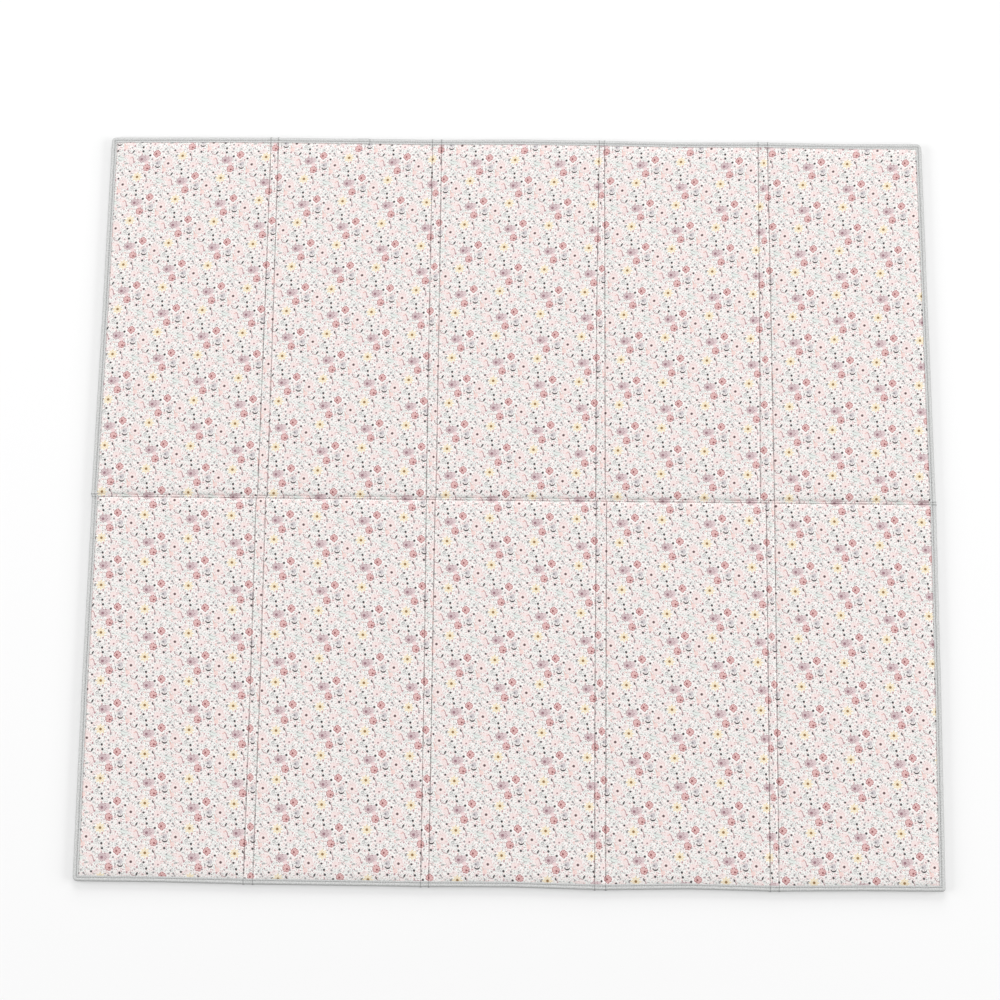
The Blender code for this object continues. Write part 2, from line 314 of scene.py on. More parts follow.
# %% [markdown]
# ## From points to a piece
# Every piece is made the same way: points and faces go into a mesh, the mesh into an object that
# stays at the origin. foreach_set hands Blender a whole array at once, which is far quicker than
# setting one vertex after another.

# %% A mesh from arrays
def add_piece(name, points, faces, materials, uv_maps=(), material_index=None):
    """A smooth mesh object from an array of points and an array of faces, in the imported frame."""
    mesh = bpy.data.meshes.new(name)
    placed = points + np.array([SHIFT[0], SHIFT[1], 0.0])
    mesh.from_pydata(placed.tolist(), [], faces.tolist())
    for material in materials:
        mesh.materials.append(material)
    for uv_name, uv in uv_maps:
        layer = mesh.uv_layers.new(name=uv_name)
        layer.uv.foreach_set("vector", uv.astype(np.float32).ravel())
    if material_index is not None:
        mesh.polygons.foreach_set("material_index", material_index.astype(np.int32))
    mesh.shade_smooth()
    piece = bpy.data.objects.new(name, mesh)
    bpy.context.collection.objects.link(piece)
    mesh.calc_loop_triangles()
    print(name, "has", len(mesh.loop_triangles), "triangles")
    return piece


def grid_quads(index):
    """The four corners of each cell of a grid of point numbers, anticlockwise from above."""
    cells = [index[:-1, :-1], index[:-1, 1:], index[1:, 1:], index[1:, :-1]]
    return np.stack(cells, axis=-1).reshape(-1, 4)


# %% [markdown]
# ## A short hand for shader nodes
# The print is a formula, written as nodes: each node is one sum, and its output goes into the
# next. Written out in full, that is several lines a node, so this small helper adds a node, sets
# what is a number and links what is another node's output.

# %% Add nodes in one line each
ROW_OF_NODES = 14


class Nodes:
    """A material's nodes, added one after another in the order that they are worked out."""

    def __init__(self, name, roughness):
        self.material = bpy.data.materials.new(name)
        self.material.use_nodes = True
        self.tree = self.material.node_tree
        self.shader = self.tree.nodes["Principled BSDF"]
        self.shader.inputs["Roughness"].default_value = roughness
        self.count = 0

    def add(self, kind, values, settings=None):
        """A node with its inputs, by name or number, set or linked."""
        node = self.tree.nodes.new(kind)
        for key, value in (settings or {}).items():
            setattr(node, key, value)
        for key, value in values.items():
            self.give(node.inputs[key], value)
        node.location = (-3000 + 180 * (self.count // ROW_OF_NODES), -150 * (self.count % ROW_OF_NODES))
        self.count += 1
        return node

    def give(self, socket, value):
        """Links an output to the socket, or sets the socket to a plain value."""
        if isinstance(value, bpy.types.NodeSocket):
            self.tree.links.new(value, socket)
        else:
            socket.default_value = value

    def math(self, operation, *values):
        """One sum of numbers."""
        return self.add("ShaderNodeMath", dict(enumerate(values)), {"operation": operation}).outputs[0]

    def vector(self, operation, *values):
        """One sum of vectors. Length, distance and dot product give a number."""
        node = self.add("ShaderNodeVectorMath", dict(enumerate(values)), {"operation": operation})
        number = operation in ("LENGTH", "DISTANCE", "DOT_PRODUCT")
        return node.outputs["Value" if number else "Vector"]

    def ease(self, value, start, end):
        """0 before start and 1 after end, with a soft step between them."""
        values = {"Value": value, "From Min": start, "From Max": end}
        node = self.add("ShaderNodeMapRange", values, {"interpolation_type": "SMOOTHSTEP"})
        return node.outputs["Result"]

    def mix(self, factor, under, over):
        """The colour over painted on the colour under, as thick as the factor says."""
        values = {"Factor": factor, 6: under, 7: over}
        return self.add("ShaderNodeMix", values, {"data_type": "RGBA"}).outputs[2]

    def noise(self, vector, scale, detail):
        """Cloudy noise between 0 and 1."""
        values = {"Vector": vector, "Scale": scale, "Detail": detail}
        return self.add("ShaderNodeTexNoise", values).outputs["Fac"]


STUDIO_LIGHT = 1.1


def ink(red, green, blue):
    """The colour seen in the photograph, 0 to 255, as a shader's colour: linear, over the light."""
    seen = np.array([red, green, blue]) / 255
    linear = np.where(seen <= 0.04045, seen / 12.92, ((seen + 0.055) / 1.055) ** 2.4)
    return (*(linear / STUDIO_LIGHT).tolist(), 1.0)


print("a screen's mid grey as a shader's grey:", round(ink(128, 128, 128)[0], 3))

# %% [markdown]
# ## The repeat
# A printed cloth shows one drawing over and over. Here it is a half drop: each next copy of a
# brick of cloth, 206.5 mm by 56, lies one row lower and half a width to the side. An image could
# carry the drawing, but formulas stay sharp at any distance. Every motif below is drawn once,
# inside one brick, by how far a point is from it.

# %% From flat cloth to a place in one brick, in millimetres
BRICK_WIDTH = 206.5
BRICK_HEIGHT = 56.0
BRICK_LOW = -46.5
PRINT_START = (86.2, -42.1)


def brick_place(nodes):
    """The flat place in millimetres, and the place in the brick: wrap(x - row * half a width)."""
    uv = nodes.add("ShaderNodeUVMap", {}, {"uv_map": "print"}).outputs["UV"]
    flat = nodes.vector("MULTIPLY_ADD", uv, (1 / MM,) * 3, (-PRINT_START[0], -PRINT_START[1], 0))
    split = nodes.add("ShaderNodeSeparateXYZ", {"Vector": flat})
    x, y = split.outputs["X"], split.outputs["Y"]
    rows = nodes.math("MULTIPLY_ADD", y, 1 / BRICK_HEIGHT, -BRICK_LOW / BRICK_HEIGHT)
    row = nodes.math("FLOOR", rows)
    low = nodes.math("MULTIPLY_ADD", row, -BRICK_HEIGHT, y)
    slid = nodes.math("MULTIPLY_ADD", row, -BRICK_WIDTH / 2, x)
    wide = nodes.math("WRAP", slid, BRICK_WIDTH / 2, -BRICK_WIDTH / 2)
    place = nodes.add("ShaderNodeCombineXYZ", {"X": wide, "Y": low}).outputs["Vector"]
    return flat, place


def round_the_repeat(nodes, flat):
    """Two circles that close where the print repeats, as a point in four dimensions.

    Noise read there joins up with itself at every copy of the repeat, whatever its edges are.
    """
    turn = 2 * np.pi / BRICK_WIDTH
    rise = np.pi / BRICK_HEIGHT
    first = nodes.vector("DOT_PRODUCT", flat, (turn, rise, 0))
    second = nodes.vector("DOT_PRODUCT", flat, (turn, -rise, 0))
    parts = {"X": nodes.math("COSINE", first), "Y": nodes.math("SINE", first)}
    parts["Z"] = nodes.math("COSINE", second)
    return nodes.add("ShaderNodeCombineXYZ", parts).outputs["Vector"], nodes.math("SINE", second)


# %% [markdown]
# ## Motifs as distances
# A disc is "the distance to a point, less a radius". A leaf is where two discs overlap, a stem is
# a thin ring cut short by a disc, and a cup is a disc that another disc has bitten. All give the
# distance to their edge, below 0 inside, so the smaller of two distances joins two shapes.

# %% Distances to discs, leaves, stems and a cup
def disc(nodes, place, x, y, radius):
    """Distance to a disc's edge: distance to its middle - radius."""
    return nodes.math("SUBTRACT", nodes.vector("DISTANCE", place, (x, y, 0)), radius)


def leaf(nodes, place, x, y, length, width, angle):
    """Distance to a pointed leaf: the larger of the distances to two big discs that overlap in it."""
    radius = (length**2 + width**2) / (4 * width)
    off = radius - width / 2
    side_x, side_y = -np.sin(np.radians(angle)) * off, np.cos(np.radians(angle)) * off
    one = nodes.vector("DISTANCE", place, (x + side_x, y + side_y, 0))
    other = nodes.vector("DISTANCE", place, (x - side_x, y - side_y, 0))
    return nodes.math("SUBTRACT", nodes.math("MAXIMUM", one, other), radius)


def stem(nodes, place, x, y, length, width, angle, bend):
    """Distance to a bent stem: |distance to the bend's middle - radius| - half a width, cut short."""
    middle = (x + np.cos(np.radians(angle)) * bend, y + np.sin(np.radians(angle)) * bend, 0)
    ring = nodes.math("SUBTRACT", nodes.vector("DISTANCE", place, middle), bend)
    line = nodes.math("SUBTRACT", nodes.math("ABSOLUTE", ring), width / 2)
    return nodes.math("MAXIMUM", line, disc(nodes, place, x, y, length / 2))


def cup(nodes, place, x, y, radius, bite_up, bite_radius):
    """Distance to a cup: inside one disc and outside another, which stands higher."""
    bite = disc(nodes, place, x, y + bite_up, bite_radius)
    return nodes.math("MAXIMUM", disc(nodes, place, x, y, radius), nodes.math("MULTIPLY", bite, -1.0))


def joined(nodes, distances):
    """The distance to the nearest of several shapes: their minimum."""
    nearest_one = distances[0]
    for distance in distances[1:]:
        nearest_one = nodes.math("MINIMUM", nearest_one, distance)
    return nearest_one


def scattered(nodes, place, dots):
    """Distances to equal discs: the distance to the nearest middle - radius, for each radius."""
    groups = []
    for radius, places in dots.items():
        reach = joined(nodes, [nodes.vector("DISTANCE", place, (*spot, 0)) for spot in places])
        groups.append(nodes.math("SUBTRACT", reach, radius))
    return groups


print("motifs are ready: disc, leaf, stem, cup, scattered dots")

# %% [markdown]
# ## The chart of the repeat
# These tables are the drawing, in millimetres from the coral flower's middle, charted as a
# quilter charts a block. Petals come from a cosine round the middle: the flower's edge is
# radius * (1 - notch + notch * cos(petals * angle)). Small marks between the flowers make the
# print busy, as on the real cloth, and their layout is this notebook's own.

# %% The flowers, the small marks and their inks
# x, y, radius, ink, opacity
WASHES = (
    (0, -0.3, 13.5, (255, 254, 252), 0.75),
    (-19.8, -36.8, 13, (255, 254, 252), 0.7),
    (63.8, -5, 15, (255, 254, 250), 0.6),
    (24, -41.2, 5.4, (246, 210, 204), 0.75),
    (-22, -24, 6, (238, 204, 206), 0.7),
    (-88, -14, 9, (226, 234, 229), 0.75),
    (93, -29, 8.5, (246, 224, 222), 0.75),
    (-63, -13, 9.5, (247, 228, 226), 0.7),
    (-24.5, -13, 8, (212, 186, 190), 0.75),
    (7, -24, 6.5, (196, 192, 196), 0.7),
)
# name, x, y, radius, petals, notch, turn in degrees, streaks, streak depth, petal ink, shade ink, opacity
FLOWERS = (
    ("pink_open", 31.5, -25, 12.2, 6, 0.08, 20, 24, 0.12, (250, 234, 231), (232, 206, 204), 0.85),
    ("mauve", -34, -14, 11, 7, 0.1, 10, 13, 0.8, (236, 218, 220), (144, 98, 108), 0.85),
    ("yellow", 63.8, -5, 12.6, 8, 0.2, 12, 11, 0.6, (253, 242, 216), (230, 200, 142), 0.8),
    ("coral", 0, -0.3, 9.8, 4, 0.07, 0, 9, 0.5, (242, 202, 199), (160, 92, 97), 0.95),
    ("coral_low", -19.8, -36.8, 9.7, 5, 0.06, -60, 9, 0.5, (242, 202, 199), (160, 92, 97), 0.95),
)
# x, y, radius, ink
HEARTS = (
    (-35.5, -15.5, 3.4, (150, 112, 122)),
    (-1.8, -0.8, 2.3, (128, 56, 62)),
    (-18.2, -38.8, 2.3, (128, 56, 62)),
    (63.8, -5, 3.2, (140, 102, 46)),
    (31.5, -25, 3.1, (76, 44, 48)),
    (94, -31, 2.0, (150, 110, 116)),
)
# radius: places
DARK_DOTS = {
    2.8: ((-34.8, 5), (-16.2, -5), (66.8, -40), (-98, 6), (4.8, -50)),
    2.5: ((43.2, 9), (-60, -47), (18.5, -10), (61, -26)),
}
GREY_DOTS = {
    2.4: ((25.5, 5.5), (48.8, -6), (87.5, -16), (82.5, -30), (4, -25), (84, -41), (-20, 7.5), (-9.5, -15)),
    1.9: ((-89.5, -31), (-11, -41), (91.5, 7.5), (14, 5), (-84, -44), (-80, -4), (-93, -8), (102, -41)),
    1.5: ((52.5, -15), (56.5, -21), (-48, -35), (-4.5, -31), (29, 0), (39, -41), (76, 4)),
}
ROSE_DOTS = {
    2.3: ((-81.5, 7.5), (45.5, -37), (-53, -23), (69, -17)),
    1.6: ((-10, 6), (12, -13), (77, -24), (-70, -38), (-58, -33), (-46, 3), (-30, -42), (99, -14),
          (-76, -22)),
}
# x, y, length, width, angle in degrees
DARK_LEAVES = (
    (-58.8, 4, 10.5, 3.8, 62), (82.6, -1, 9, 3.4, -72), (50.5, -2.5, 6, 2.0, 18),
)
GREY_LEAVES = (
    (4, -15, 10, 2.6, 32), (66, 8, 6, 1.8, -75), (-71, -27, 10, 4.2, 10), (-97, -26, 9, 3.0, -38),
    (54, -31, 9, 2.4, 35), (-92, -17, 6, 2.2, -30), (36, -5, 8, 1.8, 70), (92, -7, 6, 2.0, 5),
    (-28, -2, 7, 1.8, 12), (73, -32, 8, 2.2, 30), (49, 3, 6, 2.0, -20), (-72, 7, 7, 2.2, -15),
    (-66, -42, 8, 2.4, -28), (76, -12, 7, 1.8, 18),
)
PEACH_LEAVES = (
    (20, -34.5, 10, 3.4, -68), (-79, -30, 8, 2.6, 50), (-62, -12, 9, 3.0, 18), (-40, -31, 7, 2.6, -25),
)
# x, y, length, width, angle of the bend in degrees, bend radius
ROSE_STEMS = (
    (-68, 1, 16, 1.8, 60, 14), (-56, -15, 15, 1.8, 205, 14), (-14, -28, 13, 1.4, 200, 14),
    (86.5, -7, 13, 1.8, 205, 16), (-92, -20, 14, 1.2, 300, 12),
)
GREY_STEMS = (
    (58, -31, 12, 1.2, 20, 10), (-84, -12, 15, 1.2, 90, 10), (9, -5.5, 9, 1.2, 250, 8),
    (-30, -32, 12, 1.2, 110, 12),
)
dot_count = sum(len(places) for dots in (DARK_DOTS, GREY_DOTS, ROSE_DOTS) for places in dots.values())
print(len(FLOWERS), "flowers and", dot_count, "dots in the repeat")

# %% [markdown]
# ## Painting the print
# Printing goes from pale inks to dark ones, each over what is there. The same order is used here:
# a mottled ground, scattered specks, thin drawn lines, then leaves, flowers and dots. Watercolour
# flowers are never flat, so each is mottled, streaked from its middle, and darker at its edge.

# %% Paint a flower and a group of small shapes
INK_EDGE = 0.4
RAGGED = 0.35
WASH_RAGGED = 1.1


def paint_flower(nodes, under, place, mottle, row):
    """One flower over the colour under it, its edge by the petal formula and streaks by a sine."""
    x, y, radius, petals, notch, turn, streaks, depth, petal, shade, opacity = row[1:]
    arm = nodes.vector("SUBTRACT", place, (x, y, 0))
    reach = nodes.vector("LENGTH", arm)
    split = nodes.add("ShaderNodeSeparateXYZ", {"Vector": arm})
    angle = nodes.math("ARCTAN2", split.outputs["Y"], split.outputs["X"])
    swing = nodes.math("COSINE", nodes.math("MULTIPLY_ADD", angle, petals, np.radians(turn)))
    edge = nodes.math("MULTIPLY_ADD", swing, notch * radius, (1 - notch) * radius)
    share = nodes.math("DIVIDE", reach, edge)
    ragged = nodes.math("MULTIPLY_ADD", mottle, RAGGED, share)
    inside = nodes.ease(ragged, 1 + RAGGED / 2 + INK_EDGE / radius, 1 + RAGGED / 2 - INK_EDGE / radius)
    fan = nodes.math("SINE", nodes.math("MULTIPLY_ADD", angle, streaks, reach))
    streak = nodes.math("MULTIPLY_ADD", fan, depth, nodes.math("MULTIPLY", mottle, 0.8))
    between = nodes.math("MULTIPLY", nodes.ease(swing, -0.55, -1.0), share)
    rim = nodes.math("MULTIPLY_ADD", nodes.ease(share, 0.6, 1.0), 0.5, streak)
    dark = nodes.math("MULTIPLY_ADD", between, 0.5, rim)
    colour = nodes.mix(nodes.ease(dark, 0.2, 1.15), ink(*petal), ink(*shade))
    return nodes.mix(nodes.math("MULTIPLY", inside, opacity), under, colour)


def paint_wash(nodes, under, place, mottle, row):
    """A soft blot of thin ink: a disc whose edge wanders with the mottle."""
    x, y, radius, colour, opacity = row
    reach = nodes.math("DIVIDE", nodes.vector("DISTANCE", place, (x, y, 0)), radius)
    ragged = nodes.math("MULTIPLY_ADD", mottle, WASH_RAGGED, reach)
    inside = nodes.ease(ragged, 1.1 + WASH_RAGGED / 2, 0.8 + WASH_RAGGED / 2)
    return nodes.mix(nodes.math("MULTIPLY", inside, opacity), under, ink(*colour))


def paint_shapes(nodes, under, distances, colour, opacity):
    """Shapes of one ink over the colour under them."""
    inside = nodes.ease(joined(nodes, distances), INK_EDGE, -INK_EDGE)
    return nodes.mix(nodes.math("MULTIPLY", inside, opacity), under, ink(*colour))


# %% The ground, the specks and the drawn lines
GROUND = (254, 252, 249)
SPECK_CELL = 4.6
FINE_CELL = 2.9
REACH_OF_CIRCLE = 18.7
# where the ink starts in the random draw, ink
SPECK_INKS = (
    (0, (214, 150, 156)),
    (0.2, (134, 124, 132)),
    (0.38, (148, 156, 150)),
    (0.54, (232, 178, 172)),
    (0.68, (88, 78, 84)),
    (0.82, (172, 104, 114)),
)


def repeat_noise(nodes, circles, feature, detail):
    """Noise on the two circles, with features of about this many millimetres."""
    values = {"Vector": circles[0], "W": circles[1], "Scale": REACH_OF_CIRCLE / feature, "Detail": detail}
    return nodes.add("ShaderNodeTexNoise", values, {"noise_dimensions": "4D"}).outputs["Fac"]


def specks(nodes, place, cell, spread, least):
    """One round speck in every cell: the random draw of its cell, and how far inside it a point is."""
    values = {"Vector": place, "Scale": 1 / cell}
    cells = nodes.add("ShaderNodeTexVoronoi", values, {"voronoi_dimensions": "2D"})
    draw = nodes.add("ShaderNodeSeparateColor", {"Color": cells.outputs["Color"]})
    size = nodes.math("MULTIPLY_ADD", draw.outputs["Red"], spread, least)
    return draw, nodes.ease(nodes.math("SUBTRACT", cells.outputs["Distance"], size), 0.05, -0.05)


def paint_ground(nodes, place, circles):
    """The white ground with washes of pale pink and grey, specks, and thin broken lines."""
    broad = repeat_noise(nodes, circles, 15, 0.0)
    mottle = repeat_noise(nodes, circles, 4.2, 1.0)
    colour = nodes.mix(nodes.ease(broad, 0.5, 0.75), ink(*GROUND), ink(250, 238, 235))
    colour = nodes.mix(nodes.ease(broad, 0.45, 0.25), colour, ink(247, 247, 244))
    blush = nodes.ease(broad, 0.42, 0.6)
    draw, inside = specks(nodes, place, FINE_CELL, 0.17, 0.12)
    fine_ink = nodes.mix(blush, ink(134, 134, 132), ink(188, 132, 138))
    thick = nodes.math("MULTIPLY", inside, nodes.math("MULTIPLY_ADD", draw.outputs["Blue"], 0.7, 0.0))
    colour = nodes.mix(thick, colour, fine_ink)
    draw, inside = specks(nodes, place, SPECK_CELL, 0.16, 0.13)
    which = nodes.add("ShaderNodeValToRGB", {"Fac": draw.outputs["Green"]})
    which.color_ramp.interpolation = "CONSTANT"
    for start, colour_of_speck in SPECK_INKS:
        stop = which.color_ramp.elements[0] if start == 0 else which.color_ramp.elements.new(start)
        stop.color = ink(*colour_of_speck)
    thick = nodes.math("MULTIPLY", inside, nodes.math("MULTIPLY_ADD", draw.outputs["Blue"], 0.45, 0.5))
    colour = nodes.mix(thick, colour, which.outputs["Color"])
    line = nodes.math("ABSOLUTE", nodes.math("SUBTRACT", mottle, 0.5))
    drawn = nodes.ease(line, 0.045, 0.02)
    line_ink = nodes.mix(blush, ink(160, 162, 160), ink(196, 152, 156))
    colour = nodes.mix(nodes.math("MULTIPLY", drawn, 0.4), colour, line_ink)
    return colour, mottle



# %% [markdown]
# ## Printed cotton
# Cotton is rough, with no gloss and a little fuzz that catches light at a low angle, which is what
# sheen is for. Its threads cross about every half millimetre. They are far too many to model, so
# they are a bump: two sines multiplied. Shade falls into the creases, so shade is painted into the
# print there by an attribute of the mesh, strongest on the creases and uneven along them.

# %% The printed cotton and the plain backing
THREAD = 0.55


def weave(nodes, flat, pitch):
    """Over and under, by the product of two sines of half the pitch."""
    split = nodes.add("ShaderNodeSeparateXYZ", {"Vector": flat})
    across = nodes.math("SINE", nodes.math("MULTIPLY", split.outputs["X"], np.pi / pitch))
    along = nodes.math("SINE", nodes.math("MULTIPLY", split.outputs["Y"], np.pi / pitch))
    return nodes.math("MULTIPLY", across, along)


def printed_cotton():
    """The top's material: the charted print over a weave, with shade painted along the creases."""
    nodes = Nodes("printed_cotton", 0.88)
    flat, place = brick_place(nodes)
    circles = round_the_repeat(nodes, flat)
    colour, mottle = paint_ground(nodes, place, circles)
    for row in WASHES:
        colour = paint_wash(nodes, colour, place, mottle, row)
    grey = [leaf(nodes, place, *row) for row in GREY_LEAVES]
    grey += [stem(nodes, place, *row) for row in GREY_STEMS]
    colour = paint_shapes(nodes, colour, grey, (156, 160, 158), 0.75)
    rose = [stem(nodes, place, *row) for row in ROSE_STEMS]
    colour = paint_shapes(nodes, colour, rose, (158, 108, 116), 0.8)
    peach = [leaf(nodes, place, *row) for row in PEACH_LEAVES]
    colour = paint_shapes(nodes, colour, peach, (232, 186, 178), 0.8)
    for row in FLOWERS:
        colour = paint_flower(nodes, colour, place, mottle, row)
    colour = paint_shapes(nodes, colour, scattered(nodes, place, GREY_DOTS), (134, 128, 132), 0.85)
    colour = paint_shapes(nodes, colour, scattered(nodes, place, ROSE_DOTS), (176, 122, 130), 0.85)
    dark = scattered(nodes, place, DARK_DOTS) + [leaf(nodes, place, *row) for row in DARK_LEAVES]
    dark.append(cup(nodes, place, 6.6, -30.6, 6.8, 4.2, 7.4))
    colour = paint_shapes(nodes, colour, dark, (56, 50, 54), 0.95)
    for x, y, radius, heart in HEARTS:
        colour = paint_shapes(nodes, colour, [disc(nodes, place, x, y, radius)], heart, 0.9)
    # Painted shade: the print is darkened along the creases, where shade falls in the grooves.
    crease_shade = nodes.add("ShaderNodeAttribute", {}, {"attribute_name": "crease_shade"}).outputs["Fac"]
    colour = nodes.mix(crease_shade, colour, ink(124, 98, 98))
    nodes.give(nodes.shader.inputs["Base Color"], colour)
    height = weave(nodes, flat, THREAD)
    bump = nodes.add("ShaderNodeBump", {"Height": height, "Strength": 0.5, "Distance": 0.05 * MM})
    nodes.give(nodes.shader.inputs["Normal"], bump.outputs["Normal"])
    nodes.shader.inputs["Sheen Weight"].default_value = 0.15
    nodes.shader.inputs["Sheen Roughness"].default_value = 0.5
    nodes.shader.inputs["Specular IOR Level"].default_value = 0.2
    print("printed cotton is made of", nodes.count, "nodes")
    return nodes.material


def plain_backing():
    """The underside's material: plain pale cotton with the same weave."""
    nodes = Nodes("plain_backing", 0.9)
    uv = nodes.add("ShaderNodeUVMap", {}, {"uv_map": "print"}).outputs["UV"]
    flat = nodes.vector("SCALE", uv)
    flat.node.inputs["Scale"].default_value = 1 / MM
    slub = nodes.noise(flat, 0.05, 3.0)
    nodes.give(nodes.shader.inputs["Base Color"], nodes.mix(slub, ink(222, 220, 217), ink(234, 232, 229)))
    height = nodes.math("MULTIPLY_ADD", weave(nodes, flat, THREAD), 0.04, slub)
    bump = nodes.add("ShaderNodeBump", {"Height": height, "Strength": 0.4, "Distance": 0.5 * MM})
    nodes.give(nodes.shader.inputs["Normal"], bump.outputs["Normal"])
    nodes.shader.inputs["Sheen Weight"].default_value = 0.15
    return nodes.material


cotton = printed_cotton()
backing = plain_backing()

# %% [markdown]
# ## The quilted mat
# The top and the underside are the same grid with two heights, and they share the points of the
# rim, so the shape is closed. The underside gets plain cloth. One UV map is for the print, and
# one lays the whole top out flat for baking.

# %% Build the padded mat
BAKE_SIDE = 0.97
BAKE_LOW = 0.02
# Painted shade on the creases: its strength, the length of its unevenness and its reach.
CREASE_SHADE_SHARE = 0.6
CREASE_SHADE_LENGTH = 30 * MM
CREASE_SHADE_REACH = 1.5 * MM


def padded_mat():
    """Both grids, joined at the rim: the top turned up and the underside turned down."""
    columns, rows = len(x_lines), len(y_lines)
    x, y = [part.ravel() for part in np.meshgrid(x_lines, y_lines)]
    top, bottom = heights(x, y)
    laid_x, laid_y = settle(*round_corners(x, y))
    index = np.arange(rows * columns).reshape(rows, columns)
    rim = np.ones((rows, columns), bool)
    rim[1:-1, 1:-1] = False
    under = index.copy()
    under[~rim] = rows * columns + np.arange((~rim).sum())
    inside = np.flatnonzero(~rim.ravel())
    source = np.concatenate([np.arange(rows * columns), inside])
    points = np.column_stack([laid_x[source], laid_y[source], np.concatenate([top, bottom[inside]])])
    faces = np.concatenate([grid_quads(index), grid_quads(under)[:, ::-1]])
    loops = source[faces.ravel()]
    is_top = np.arange(len(faces)) < len(faces) // 2
    loop_top = np.repeat(is_top, 4)
    flat = np.column_stack(flat_cloth(laid_x, laid_y))[loops]
    share = np.column_stack([x / LENGTH + 0.5, y / WIDTH + 0.5])[loops]
    bake_top = share * BAKE_SIDE + (1 - BAKE_SIDE)
    bake_under = share * (BAKE_SIDE, BAKE_LOW) + (1 - BAKE_SIDE, 0)
    bake = np.where(loop_top[:, None], bake_top, bake_under)
    piece = add_piece("quilted_mat", points, faces, [cotton, backing],
                      [("OFBake", bake), ("print", flat)], np.where(is_top, 0, 1))
    # Painted shade along the creases, uneven along them, stored for the print's material.
    near = np.minimum(nearest(x, FOLDS), nearest(y, CROSS))
    uneven = CREASE_SHADE_SHARE * np.clip(0.3 + waves(x, y, CREASE_SHADE_LENGTH, 3, 5), 0, 1)
    crease_shade = uneven * np.exp(-(near / CREASE_SHADE_REACH) ** 2)
    attribute = piece.data.attributes.new("crease_shade", "FLOAT", "POINT")
    attribute.data.foreach_set("value", crease_shade[source].astype(np.float32))
    return piece


mat = padded_mat()
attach(mat, "root")
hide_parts("padded_mat")

# %% [markdown]
# ## The binding
# A strip of grey tape is folded round the raw edge and sewn through. It is a profile carried round
# the mat: the profile follows the rim's section from over the edge to under it, an inner line
# against the cloth and an outer line a tape's thickness away. Lumps thicken it where the seams
# end and where the tape's two ends lap.

# %% The tape's profile
KNOB = 1.2 * MM
KNOB_REACH = 3.4 * MM
TAPE_PUFF = 0.45 * MM
STITCH_INWARD = 9.0 * MM
STITCH_PULL = 0.5 * MM
PULL_REACH = 1.1 * MM
TAPE_STEPS = np.array((13.5, 13.1, 12.2, 11, 10.1, 9.5, 9, 8.5, 7.6, 6, 5, 4.2, 3.5, 2.8, 2.1, 1.6, 1.3)) * MM


def rim_section():
    """The rim in section, as inward and z, from over the tape's inner edge round to under it."""
    inward = np.concatenate([TAPE_STEPS, [EDGE_INSET], TAPE_STEPS[::-1]])
    top, bottom = heights(inward - LENGTH / 2, np.full(len(inward), -WIDTH / 4))
    over = np.arange(len(inward)) <= len(TAPE_STEPS)
    return np.column_stack([inward, np.where(over, top, bottom)])


def outward(points):
    """The way out at each point of a line, scaled so that the offset runs stay parallel."""
    steps = np.diff(points, axis=0)
    steps /= np.linalg.norm(steps, axis=1)[:, None]
    sides = np.column_stack([steps[:, 1], -steps[:, 0]])
    before = np.concatenate([sides[:1], sides])
    after = np.concatenate([sides, sides[-1:]])
    bisector = before + after
    return bisector / (bisector * after).sum(axis=1)[:, None]


section = rim_section()
section_out = outward(section)
is_over = np.arange(len(section)) < len(TAPE_STEPS)
puff = TAPE_PUFF * np.exp(-(((section[:, 0] - 5.2 * MM) / (2.4 * MM)) ** 2))
puff -= STITCH_PULL * np.exp(-(((section[:, 0] - STITCH_INWARD) / PULL_REACH) ** 2))
puff = puff * is_over
print("the tape's profile has", 2 * len(section), "points")

# %% Places round the edge
SIDES = (
    ((-1, -1), (1, 0), (0, 1)),
    ((1, -1), (0, 1), (-1, 0)),
    ((1, 1), (-1, 0), (0, -1)),
    ((-1, 1), (0, -1), (1, 0)),
)
TAPE_STEP = 7 * MM
FAN = np.concatenate([[1, 0.975, 0.94], np.linspace(0.88, 0, 12)])
JOIN_START = -391 * MM
JOIN_END = -361 * MM
JOIN_SLOPE = 3 * MM
JOIN_CUT = 0.5 * MM
BESIDE_KNOB = np.array((0, 1, 2, 3, 4.5, 6.5, 9)) * MM


def side_places(side):
    """Places along one side, crowded at the seams' ends and at the join, and the lump and the painted shade
    at each.
    """
    way = SIDES[side][1]
    axis = 0 if way[0] else 1
    length = (LENGTH, WIDTH)[axis]
    creases = np.array(FOLDS if axis == 0 else CROSS).ravel()
    knots = np.concatenate([creases[:, None] + BESIDE_KNOB, creases[:, None] - BESIDE_KNOB]).ravel()
    join = side == 2
    if join:
        knots = np.concatenate([knots, [JOIN_START, JOIN_START + JOIN_SLOPE, JOIN_END - JOIN_CUT, JOIN_END]])
    ends = [SHOULDER_END - length / 2, length / 2 - SHOULDER_END]
    lines = np.unique(np.round(np.concatenate([knots, ends]), 6))
    parts = np.ceil(np.diff(lines) / TAPE_STEP).astype(int)
    steps = [np.linspace(a, b, n, endpoint=False) for a, b, n in zip(lines[:-1], lines[1:], parts)]
    places = np.concatenate(steps + [lines[-1:]])
    away = np.abs(places[:, None] - creases).min(axis=1)
    lump = KNOB * np.exp(-((away / KNOB_REACH) ** 2))
    # Painted shade where a seam's end pinches the tape.
    tape_shade = 0.7 * np.exp(-((away / (1.0 * MM)) ** 2))
    if join:
        rise = (JOIN_START, JOIN_START + JOIN_SLOPE, JOIN_END - JOIN_CUT, JOIN_END)
        lump += np.interp(places, rise, (0, TAPE_THICK, TAPE_THICK, 0))
        # Painted shade in the slit where the tape's two ends lap.
        tape_shade += 0.5 * (np.abs(places - JOIN_END) < JOIN_CUT)
    along = places * way[axis] + length / 2
    order = np.argsort(along)
    return along[order], lump[order], tape_shade[order], length


